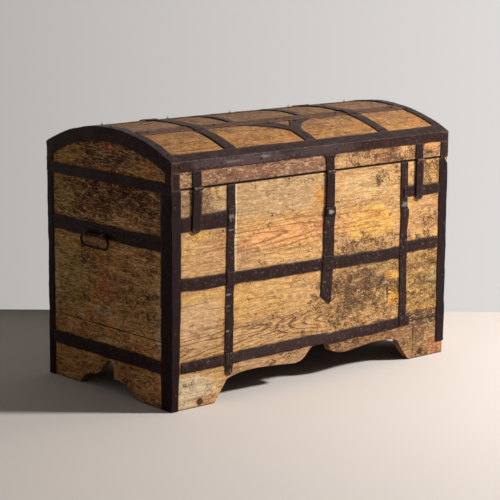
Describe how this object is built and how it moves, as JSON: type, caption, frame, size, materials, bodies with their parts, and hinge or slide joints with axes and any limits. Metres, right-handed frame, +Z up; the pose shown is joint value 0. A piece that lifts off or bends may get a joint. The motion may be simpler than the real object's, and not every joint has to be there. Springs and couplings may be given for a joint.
{
  "type": "iron-bound chest",
  "caption": "Oblong wooden chest with a shallow domed lid, bound with nailed iron bands and straps, with hanging hasps, drop handles at its ends and shaped feet.",
  "frame": {"origin": "on the floor, under the middle of the chest", "axes": "+X along the front to the right as seen from in front, +Y from the front to the back, +Z up"},
  "size_m": [1.1556, 0.6172, 0.7897],
  "materials": {
    "front_wood": "worn thin yellow-ochre paint over old pine",
    "end_wood": "darkened, scratched paint over old pine",
    "back_wood": "plain darkened old pine",
    "bottom_wood": "bare old pine",
    "lid_wood": "worn thin yellow-ochre paint over old pine",
    "corner_iron": "forged iron, dark, rubbed at the edges",
    "strap_iron": "forged iron, dark brown, a little rusted",
    "lid_iron": "forged iron, dark, rubbed",
    "hasp_iron": "forged iron, worn smooth",
    "handle_iron": "forged iron, worn bright where it is held",
    "nail_iron": "forged iron, dark",
    "peg_wood": "dark, nearly black end grain"
  },
  "bodies": {
    "chest": {"front_upper_board": "front_wood", "front_lower_board": "front_wood", "front_apron": "front_wood", "front_foot_block": "front_wood", "back_upper_board": "back_wood", "back_lower_board": "back_wood", "left_end_upper_board": "end_wood", "left_end_lower_board": "end_wood", "right_end_upper_board": "end_wood", "right_end_lower_board": "end_wood", "bottom_front_board": "bottom_wood", "bottom_back_board": "bottom_wood", "floor_cleats": "bottom_wood", "left_front_corner_iron": "corner_iron", "right_front_corner_iron": "corner_iron", "left_back_corner_iron": "corner_iron", "right_back_corner_iron": "corner_iron", "front_left_strap": "strap_iron", "front_right_strap": "strap_iron", "lock_strap": "strap_iron", "front_middle_band": "strap_iron", "front_lower_band": "strap_iron", "front_short_bands": "strap_iron", "left_end_bands": "strap_iron", "right_end_bands": "strap_iron", "back_bands": "strap_iron", "hinge_leaves": "strap_iron", "hinge_pins": "strap_iron", "handle_staples": "handle_iron", "chest_nails": "nail_iron", "foot_pegs": "peg_wood"},
    "lid": {"lid_front_rail": "lid_wood", "lid_back_rail": "lid_wood", "lid_left_end_board": "end_wood", "lid_right_end_board": "end_wood", "lid_front_stave": "lid_wood", "lid_front_crest_stave": "lid_wood", "lid_back_crest_stave": "lid_wood", "lid_back_stave": "lid_wood", "lid_front_edge_iron": "lid_iron", "lid_back_edge_iron": "lid_iron", "lid_arch_irons": "lid_iron", "lid_rim_bands": "lid_iron", "lid_ridge_bands": "lid_iron", "lid_left_strap": "lid_iron", "lid_right_strap": "lid_iron", "lid_corner_irons": "lid_iron", "lid_fork_bands": "lid_iron", "hasp_hangers": "hasp_iron", "hasp_pins": "hasp_iron", "lid_nails": "nail_iron"},
    "left_hasp": {"left_hasp": "hasp_iron"},
    "centre_hasp": {"centre_hasp": "hasp_iron"},
    "right_hasp": {"right_hasp": "hasp_iron"},
    "left_handle": {"left_handle": "handle_iron"},
    "right_handle": {"right_handle": "handle_iron"}
  },
  "joints": [
    {"name": "lid_hinge", "type": "hinge", "parent": "chest", "child": "lid", "pos_m": [0, 0.303, 0.63615], "axis": [-1, 0, 0], "range_deg": [0, 100]},
    {"name": "left_hasp_hinge", "type": "hinge", "parent": "lid", "child": "left_hasp", "pos_m": [-0.46648, -0.303, 0.63615], "axis": [-1, 0, 0], "range_deg": [0, 140]},
    {"name": "centre_hasp_hinge", "type": "hinge", "parent": "lid", "child": "centre_hasp", "pos_m": [0.04872, -0.303, 0.63615], "axis": [-1, 0, 0], "range_deg": [0, 140]},
    {"name": "right_hasp_hinge", "type": "hinge", "parent": "lid", "child": "right_hasp", "pos_m": [0.4312, -0.303, 0.63615], "axis": [-1, 0, 0], "range_deg": [0, 140]},
    {"name": "left_handle_swing", "type": "hinge", "parent": "chest", "child": "left_handle", "pos_m": [-0.5689, 0.05, 0.466], "axis": [0, 1, 0], "range_deg": [0, 150]},
    {"name": "right_handle_swing", "type": "hinge", "parent": "chest", "child": "right_handle", "pos_m": [0.5689, 0.05, 0.466], "axis": [0, -1, 0], "range_deg": [0, 150]}
  ]
}
